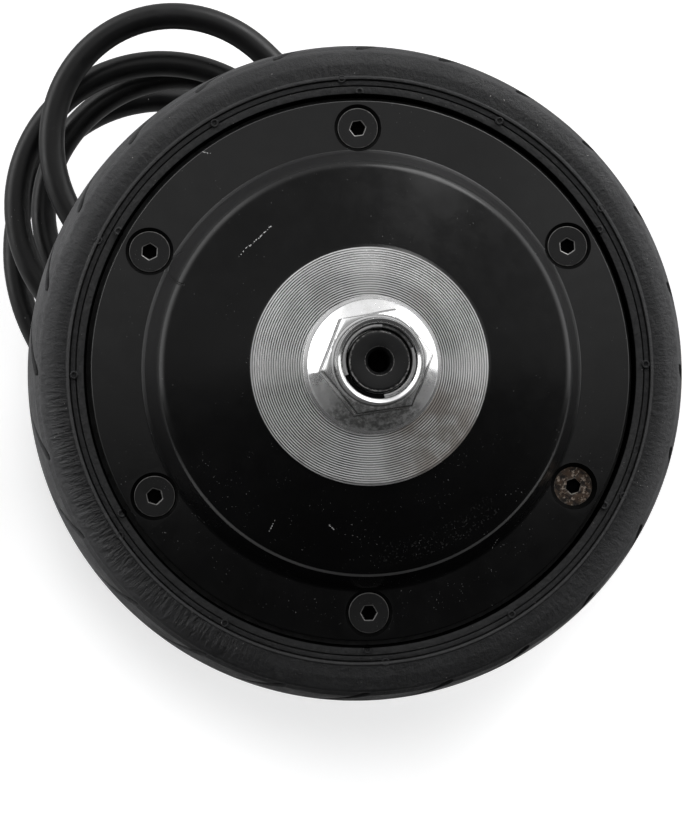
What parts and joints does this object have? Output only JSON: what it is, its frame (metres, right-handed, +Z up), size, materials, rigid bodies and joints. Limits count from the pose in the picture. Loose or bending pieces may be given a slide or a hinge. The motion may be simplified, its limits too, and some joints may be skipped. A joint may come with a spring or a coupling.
{
  "type": "hub motor wheel",
  "caption": "Solid-tyred wheel with a direct-drive motor inside; it spins on a fixed axle that carries the stator, nuts and a coiled cable.",
  "frame": {"origin": "centre of the wheel, on the spin axis and the tyre's mid-plane", "axes": "the wheel spins about Y; its front face, with the M14 nut, faces -Y; the cable leaves at +Y; +Z is up"},
  "size_m": [0.1779, 0.1462, 0.1865],
  "materials": {
    "black_oxide_steel": "black oxide, thin bright wear on the edges",
    "bare_steel": "bare, turned",
    "bare_aluminium": "bare cast and turned",
    "lamination_steel": "stacked laminations",
    "insulator_plastic": "moulded, matte",
    "copper_winding": "enamelled copper",
    "circuit_board": "solder mask",
    "black_plastic": "moulded, matte",
    "phase_wire": "soft plastic sleeve",
    "signal_wire": "soft plastic sleeve",
    "cable_sheath": "satin soft plastic",
    "black_rubber": "matte rubber",
    "white_plastic": "moulded",
    "bearing_steel": "ground",
    "zinc_plate": "bright zinc plate",
    "tyre": "matte, dusty solid rubber",
    "cover_paint": "satin black paint, bare turned boss face",
    "magnet_plate": "nickel plate",
    "brass_cage": "stamped brass"
  },
  "bodies": {
    "axle_group": {"axle": "black_oxide_steel", "axle_key": "bare_steel", "stator_hub": "bare_aluminium", "stator_core": "lamination_steel", "front_insulator": "insulator_plastic", "rear_insulator": "insulator_plastic", "stator_coils": "copper_winding", "hall_board": "circuit_board", "hall_sensors": "black_plastic", "phase_leads": "phase_wire", "hall_leads": "signal_wire", "cable_sheath": "cable_sheath", "cable_gland": "black_rubber", "cable_boot": "black_rubber", "phase_wires": "phase_wire", "phase_plugs": "black_plastic", "hall_wires": "signal_wire", "hall_plug": "white_plastic", "front_inner_race": "bearing_steel", "rear_inner_race": "bearing_steel", "front_spacer": "bare_steel", "rear_spacer": "bare_steel", "front_washer": "zinc_plate", "front_nut": "zinc_plate", "front_nut_lock_ring": "bare_steel", "rear_torque_washer": "zinc_plate", "rear_washer": "zinc_plate", "rear_nut": "zinc_plate", "rear_nut_lock_ring": "bare_steel"},
    "wheel": {"tyre": "tyre", "rim": "bare_aluminium", "front_cover": "cover_paint", "rear_cover": "cover_paint", "front_cover_screws": "black_oxide_steel", "rear_cover_screws": "black_oxide_steel", "front_cover_seal": "black_rubber", "rear_cover_seal": "black_rubber", "rotor_ring": "bearing_steel", "magnets": "magnet_plate", "front_outer_race": "bearing_steel", "rear_outer_race": "bearing_steel", "front_bearing_seals": "black_rubber", "rear_bearing_seals": "black_rubber", "front_shaft_seal": "black_rubber", "rear_shaft_seal": "black_rubber"},
    "front_cage": {"front_bearing_cage": "brass_cage", "front_bearing_balls": "bearing_steel"},
    "rear_cage": {"rear_bearing_cage": "brass_cage", "rear_bearing_balls": "bearing_steel"}
  },
  "joints": [
    {"name": "wheel_spin", "type": "hinge", "parent": "axle_group", "child": "wheel", "pos_m": [0, 0, 0], "axis": [0, 1, 0], "continuous": true},
    {"name": "front_cage_spin", "type": "hinge", "parent": "axle_group", "child": "front_cage", "pos_m": [0, -0.0295, 0], "axis": [0, 1, 0], "continuous": true},
    {"name": "rear_cage_spin", "type": "hinge", "parent": "axle_group", "child": "rear_cage", "pos_m": [0, 0.027, 0], "axis": [0, 1, 0], "continuous": true}
  ],
  "couplings": [
    {"joint": "front_cage_spin", "follows": "wheel_spin", "ratio": 0.62},
    {"joint": "rear_cage_spin", "follows": "wheel_spin", "ratio": 0.59154}
  ]
}
